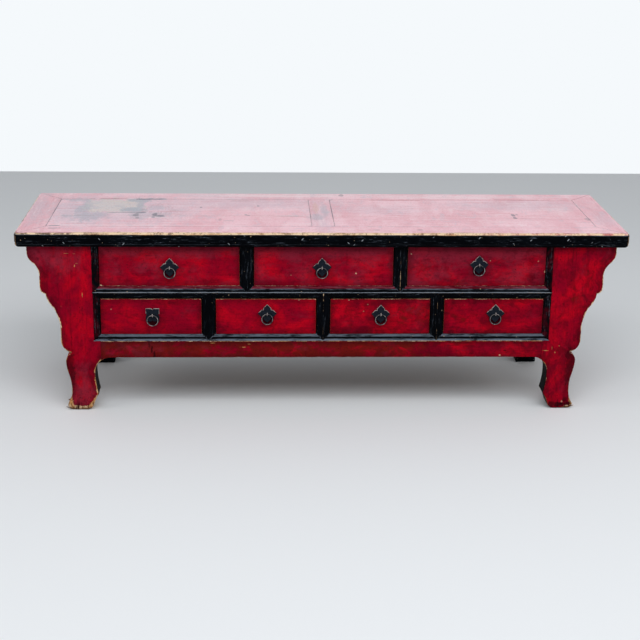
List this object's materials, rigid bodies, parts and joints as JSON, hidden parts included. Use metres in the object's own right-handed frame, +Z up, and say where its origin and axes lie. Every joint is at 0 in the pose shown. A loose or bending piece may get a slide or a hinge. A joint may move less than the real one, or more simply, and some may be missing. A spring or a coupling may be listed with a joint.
{
  "type": "altar cabinet",
  "caption": "Low lacquered altar cabinet with a long overhanging top, shaped side wings, curved front legs and two rows of sliding drawers with hinged ring pulls.",
  "frame": {"origin": "on the floor under the middle of the top", "axes": "+X to the right along the length as seen from the front, +Y to the back, +Z up"},
  "size_m": [1.75, 0.515, 0.54],
  "materials": {
    "red_lacquer": "worn crimson lacquer",
    "black_lacquer": "worn black lacquer",
    "bare_wood": "old bare wood",
    "iron": "dark wrought iron, rubbed at the edges"
  },
  "bodies": {
    "carcass": {"top_front_stile": "black_lacquer", "top_rear_stile": "red_lacquer", "top_left_end": "red_lacquer", "top_right_end": "red_lacquer", "top_centre_rail": "red_lacquer", "top_left_panel": "red_lacquer", "top_right_panel": "red_lacquer", "top_battens": "bare_wood", "leg_front_left": "red_lacquer", "leg_front_right": "red_lacquer", "leg_rear_left": "black_lacquer", "leg_rear_right": "black_lacquer", "wing_left": "red_lacquer", "wing_right": "red_lacquer", "front_middle_rail": "black_lacquer", "front_bottom_rail": "black_lacquer", "upper_divider_1": "black_lacquer", "upper_divider_2": "black_lacquer", "lower_divider_1": "black_lacquer", "lower_divider_2": "black_lacquer", "lower_divider_3": "black_lacquer", "front_apron": "red_lacquer", "rear_top_rail": "black_lacquer", "rear_middle_rail": "bare_wood", "rear_bottom_rail": "black_lacquer", "back_panel": "bare_wood", "left_end_rails": "red_lacquer", "right_end_rails": "red_lacquer", "left_end_panel": "red_lacquer", "right_end_panel": "red_lacquer", "upper_runners": "bare_wood", "lower_runners": "bare_wood"},
    "drawer_1": {"drawer_1_front": "red_lacquer", "drawer_1_box": "bare_wood", "drawer_1_pull": "iron"},
    "ring_1": {"drawer_1_ring": "iron"},
    "drawer_2": {"drawer_2_front": "red_lacquer", "drawer_2_box": "bare_wood", "drawer_2_pull": "iron"},
    "ring_2": {"drawer_2_ring": "iron"},
    "drawer_3": {"drawer_3_front": "red_lacquer", "drawer_3_box": "bare_wood", "drawer_3_pull": "iron"},
    "ring_3": {"drawer_3_ring": "iron"},
    "drawer_4": {"drawer_4_front": "red_lacquer", "drawer_4_box": "bare_wood", "drawer_4_pull": "iron"},
    "ring_4": {"drawer_4_ring": "iron"},
    "drawer_5": {"drawer_5_front": "red_lacquer", "drawer_5_box": "bare_wood", "drawer_5_pull": "iron"},
    "ring_5": {"drawer_5_ring": "iron"},
    "drawer_6": {"drawer_6_front": "red_lacquer", "drawer_6_box": "bare_wood", "drawer_6_pull": "iron"},
    "ring_6": {"drawer_6_ring": "iron"},
    "drawer_7": {"drawer_7_front": "red_lacquer", "drawer_7_box": "bare_wood", "drawer_7_pull": "iron"},
    "ring_7": {"drawer_7_ring": "iron"}
  },
  "joints": [
    {"name": "drawer_1_slide", "type": "slide", "parent": "carcass", "child": "drawer_1", "axis": [0, -1, 0], "range_m": [0, 0.28]},
    {"name": "ring_1_swing", "type": "hinge", "parent": "drawer_1", "child": "ring_1", "pos_m": [-0.4415, -0.2329, 0.43275], "axis": [-1, 0, 0], "range_deg": [0, 170]},
    {"name": "drawer_2_slide", "type": "slide", "parent": "carcass", "child": "drawer_2", "axis": [0, -1, 0], "range_m": [0, 0.28]},
    {"name": "ring_2_swing", "type": "hinge", "parent": "drawer_2", "child": "ring_2", "pos_m": [-0.005, -0.2329, 0.43325], "axis": [-1, 0, 0], "range_deg": [0, 170]},
    {"name": "drawer_3_slide", "type": "slide", "parent": "carcass", "child": "drawer_3", "axis": [0, -1, 0], "range_m": [0, 0.28]},
    {"name": "ring_3_swing", "type": "hinge", "parent": "drawer_3", "child": "ring_3", "pos_m": [0.4485, -0.2329, 0.44125], "axis": [-1, 0, 0], "range_deg": [0, 170]},
    {"name": "drawer_4_slide", "type": "slide", "parent": "carcass", "child": "drawer_4", "axis": [0, -1, 0], "range_m": [0, 0.28]},
    {"name": "ring_4_swing", "type": "hinge", "parent": "drawer_4", "child": "ring_4", "pos_m": [-0.49325, -0.2329, 0.29025], "axis": [-1, 0, 0], "range_deg": [0, 170]},
    {"name": "drawer_5_slide", "type": "slide", "parent": "carcass", "child": "drawer_5", "axis": [0, -1, 0], "range_m": [0, 0.28]},
    {"name": "ring_5_swing", "type": "hinge", "parent": "drawer_5", "child": "ring_5", "pos_m": [-0.16225, -0.2329, 0.29425], "axis": [-1, 0, 0], "range_deg": [0, 170]},
    {"name": "drawer_6_slide", "type": "slide", "parent": "carcass", "child": "drawer_6", "axis": [0, -1, 0], "range_m": [0, 0.28]},
    {"name": "ring_6_swing", "type": "hinge", "parent": "drawer_6", "child": "ring_6", "pos_m": [0.16775, -0.2329, 0.29275], "axis": [-1, 0, 0], "range_deg": [0, 170]},
    {"name": "drawer_7_slide", "type": "slide", "parent": "carcass", "child": "drawer_7", "axis": [0, -1, 0], "range_m": [0, 0.28]},
    {"name": "ring_7_swing", "type": "hinge", "parent": "drawer_7", "child": "ring_7", "pos_m": [0.50275, -0.2329, 0.29425], "axis": [-1, 0, 0], "range_deg": [0, 170]}
  ]
}
